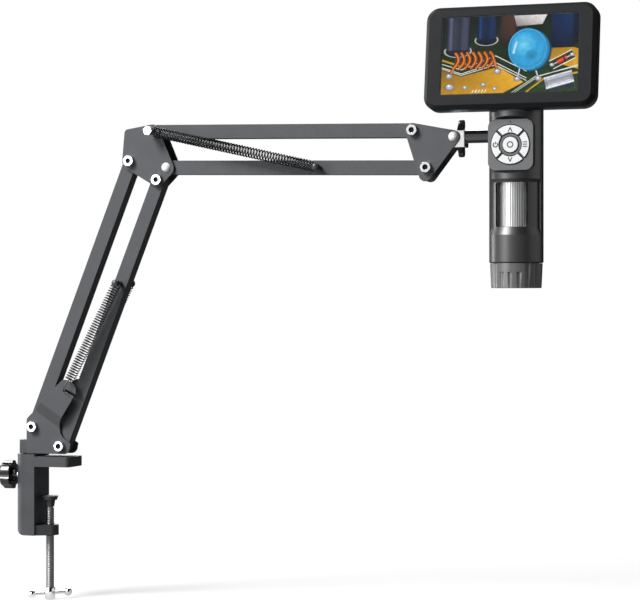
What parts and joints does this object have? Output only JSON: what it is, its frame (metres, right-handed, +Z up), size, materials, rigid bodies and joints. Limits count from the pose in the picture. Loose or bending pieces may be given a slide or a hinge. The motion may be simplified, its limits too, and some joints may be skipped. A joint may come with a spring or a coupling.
{
  "type": "lcd digital microscope on a boom arm",
  "caption": "Handheld microscope with a tilted display, keys, focus wheel and distance ring, on a spring-balanced parallel boom arm with a desk clamp.",
  "frame": {"origin": "on the underside of the clamp's upper jaw, on the axis of the clamp screw, where the part meets the table top", "axes": "+X along the boom from the clamp to the microscope, +Y away from the viewer of the display, +Z up"},
  "size_m": [0.4527, 0.0437, 0.4224],
  "materials": {
    "powder_coat": "dark grey satin powder coat",
    "cast_black": "satin black enamel on a casting",
    "zinc": "bright zinc plate",
    "spring_steel": "dark nickel-plated spring wire",
    "gloss_black": "glossy black moulding",
    "matte_black": "fine satin black moulding",
    "panel_grey": "satin mid-grey moulding",
    "key_white": "satin white keys",
    "wheel_silver": "finely knurled aluminium",
    "glass": "clear cover glass",
    "lcd": "display module",
    "rod_black": "glossy black rod",
    "board": "green solder mask",
    "cell": "foil pouch",
    "led": "white board with LEDs"
  },
  "bodies": {
    "clamp": {"clamp_body": "cast_black", "pivot_washer": "gloss_black"},
    "thumb_screw": {"thumb_screw": "zinc", "thumb_knob": "gloss_black"},
    "pressure_pad": {"screw_pad": "cast_black"},
    "clamp_screw": {"clamp_screw": "zinc"},
    "tommy_bar": {"tommy_bar": "zinc"},
    "swivel_base": {"swivel_post": "cast_black", "base_plate_near": "powder_coat", "base_plate_far": "powder_coat", "base_bolts": "zinc", "base_nuts": "zinc"},
    "rear_link": {"lower_rear_tube": "powder_coat"},
    "front_link": {"lower_front_tube": "powder_coat", "lower_spring_pin": "cast_black", "lower_spring_near": "spring_steel", "lower_spring_far": "spring_steel"},
    "elbow": {"elbow_plate_near": "powder_coat", "elbow_plate_far": "powder_coat", "elbow_bolts": "zinc", "elbow_nuts": "zinc", "spring_bolt": "zinc", "elbow_lock_bolt": "zinc"},
    "elbow_wing": {"elbow_wing_nut": "gloss_black"},
    "top_link": {"upper_top_tube": "powder_coat"},
    "bottom_link": {"upper_bottom_tube": "powder_coat", "upper_spring_pin": "cast_black", "upper_spring_near": "spring_steel", "upper_spring_far": "spring_steel"},
    "end_bracket": {"end_plate_near": "powder_coat", "end_plate_far": "powder_coat", "end_bolts": "zinc", "end_nuts": "zinc", "tilt_bolt": "zinc"},
    "tilt_wing": {"tilt_wing_nut": "gloss_black"},
    "swivel_head": {"swivel_block": "zinc"},
    "microscope": {"mount_rod": "rod_black", "front_shell": "matte_black", "back_shell": "matte_black", "shell_screws": "matte_black", "key_panel": "panel_grey", "nose_tube": "matte_black", "led_ring": "led", "display_bezel": "matte_black", "screen_glass": "glass", "lcd_panel": "lcd", "display_back": "matte_black", "main_board": "board", "sensor_board": "board", "battery": "cell", "usb_port": "zinc"},
    "key_up": {"key_up": "key_white"},
    "key_down": {"key_down": "key_white"},
    "key_power": {"key_power": "key_white"},
    "key_menu": {"key_menu": "key_white"},
    "key_ok": {"key_ok": "key_white"},
    "focus_wheel": {"focus_wheel": "wheel_silver"},
    "lens_carriage": {"lens_barrel": "matte_black"},
    "hood": {"distance_hood": "matte_black"},
    "distance_ring": {"distance_ring": "matte_black"}
  },
  "joints": [
    {"name": "swivel", "type": "hinge", "parent": "clamp", "child": "swivel_base", "pos_m": [-0.0125, 0, 0.0093], "axis": [0, 0, 1], "continuous": true},
    {"name": "thumb_turn", "type": "hinge", "parent": "clamp", "child": "thumb_screw", "pos_m": [-0.025, 0, -0.007], "axis": [1, 0, 0], "continuous": true},
    {"name": "pad_slide", "type": "slide", "parent": "clamp", "child": "pressure_pad", "axis": [0, 0, 1], "range_m": [-0.012, 0.0195]},
    {"name": "screw_turn", "type": "hinge", "parent": "pressure_pad", "child": "clamp_screw", "pos_m": [0, 0, -0.03], "axis": [0, 0, 1], "range_deg": [-3402, 5528]},
    {"name": "tommy_slide", "type": "slide", "parent": "clamp_screw", "child": "tommy_bar", "axis": [0.6428, 0.766, 0], "range_m": [-0.0075, 0.0075]},
    {"name": "lower_arm", "type": "hinge", "parent": "swivel_base", "child": "rear_link", "pos_m": [-0.0106, 0, 0.0292], "axis": [0, 1, 0], "range_deg": [-35, 50]},
    {"name": "lower_front_turn", "type": "hinge", "parent": "swivel_base", "child": "front_link", "pos_m": [0.01141, 0, 0.01518], "axis": [0, 1, 0], "range_deg": [-35, 50], "deforming": ["lower_spring_near", "lower_spring_far"]},
    {"name": "elbow_level", "type": "hinge", "parent": "rear_link", "child": "elbow", "pos_m": [0.06709, 0, 0.22344], "axis": [0, 1, 0], "range_deg": [-50, 35]},
    {"name": "elbow_wing_turn", "type": "hinge", "parent": "elbow", "child": "elbow_wing", "pos_m": [0.0958, 0.01, 0.21826], "axis": [0, 1, 0], "continuous": true},
    {"name": "upper_arm", "type": "hinge", "parent": "elbow", "child": "top_link", "pos_m": [0.08589, 0, 0.24434], "axis": [0, 1, 0], "range_deg": [-60, 30]},
    {"name": "upper_bottom_turn", "type": "hinge", "parent": "elbow", "child": "bottom_link", "pos_m": [0.0958, 0, 0.21826], "axis": [0, 1, 0], "range_deg": [-60, 30], "deforming": ["upper_spring_near", "upper_spring_far"]},
    {"name": "end_level", "type": "hinge", "parent": "top_link", "child": "end_bracket", "pos_m": [0.28185, 0, 0.24058], "axis": [0, 1, 0], "range_deg": [-30, 60]},
    {"name": "tilt_wing_turn", "type": "hinge", "parent": "end_bracket", "child": "tilt_wing", "pos_m": [0.31105, 0.01, 0.23548], "axis": [0, 1, 0], "continuous": true},
    {"name": "head_tilt", "type": "hinge", "parent": "end_bracket", "child": "swivel_head", "pos_m": [0.31105, 0, 0.23548], "axis": [0, 1, 0], "range_deg": [-15, 60]},
    {"name": "rod_roll", "type": "hinge", "parent": "swivel_head", "child": "microscope", "pos_m": [0.31875, 0, 0.23548], "axis": [1, 0, 0], "range_deg": [-70, 90]},
    {"name": "press_up", "type": "slide", "parent": "microscope", "child": "key_up", "axis": [0, 1, 0], "range_m": [0, 0.0008], "stiffness_N_per_m": 400},
    {"name": "press_down", "type": "slide", "parent": "microscope", "child": "key_down", "axis": [0, 1, 0], "range_m": [0, 0.0008], "stiffness_N_per_m": 400},
    {"name": "press_power", "type": "slide", "parent": "microscope", "child": "key_power", "axis": [0, 1, 0], "range_m": [0, 0.0008], "stiffness_N_per_m": 400},
    {"name": "press_menu", "type": "slide", "parent": "microscope", "child": "key_menu", "axis": [0, 1, 0], "range_m": [0, 0.0008], "stiffness_N_per_m": 400},
    {"name": "press_ok", "type": "slide", "parent": "microscope", "child": "key_ok", "axis": [0, 1, 0], "range_m": [0, 0.0008], "stiffness_N_per_m": 400},
    {"name": "focus_turn", "type": "hinge", "parent": "microscope", "child": "focus_wheel", "pos_m": [0.3543, 0, 0.18748], "axis": [0, 0, 1], "range_deg": [-135, 135]},
    {"name": "lens_slide", "type": "slide", "parent": "microscope", "child": "lens_carriage", "axis": [0, 0, 1], "range_m": [-0.003, 0.003]},
    {"name": "hood_slide", "type": "slide", "parent": "microscope", "child": "hood", "axis": [0, 0, -1], "range_m": [0, 0.008]},
    {"name": "ring_turn", "type": "hinge", "parent": "hood", "child": "distance_ring", "pos_m": [0.3543, 0, 0.13878], "axis": [0, 0, 1], "range_deg": [0, 360]}
  ],
  "couplings": [
    {"joint": "screw_turn", "follows": "pad_slide", "rad_per_m": 4947.4},
    {"joint": "lower_front_turn", "follows": "lower_arm", "ratio": 1},
    {"joint": "elbow_level", "follows": "lower_arm", "ratio": -1},
    {"joint": "upper_bottom_turn", "follows": "upper_arm", "ratio": 1},
    {"joint": "end_level", "follows": "upper_arm", "ratio": -1},
    {"joint": "focus_turn", "follows": "lens_slide", "rad_per_m": 785.4},
    {"joint": "ring_turn", "follows": "hood_slide", "rad_per_m": 785.4}
  ]
}
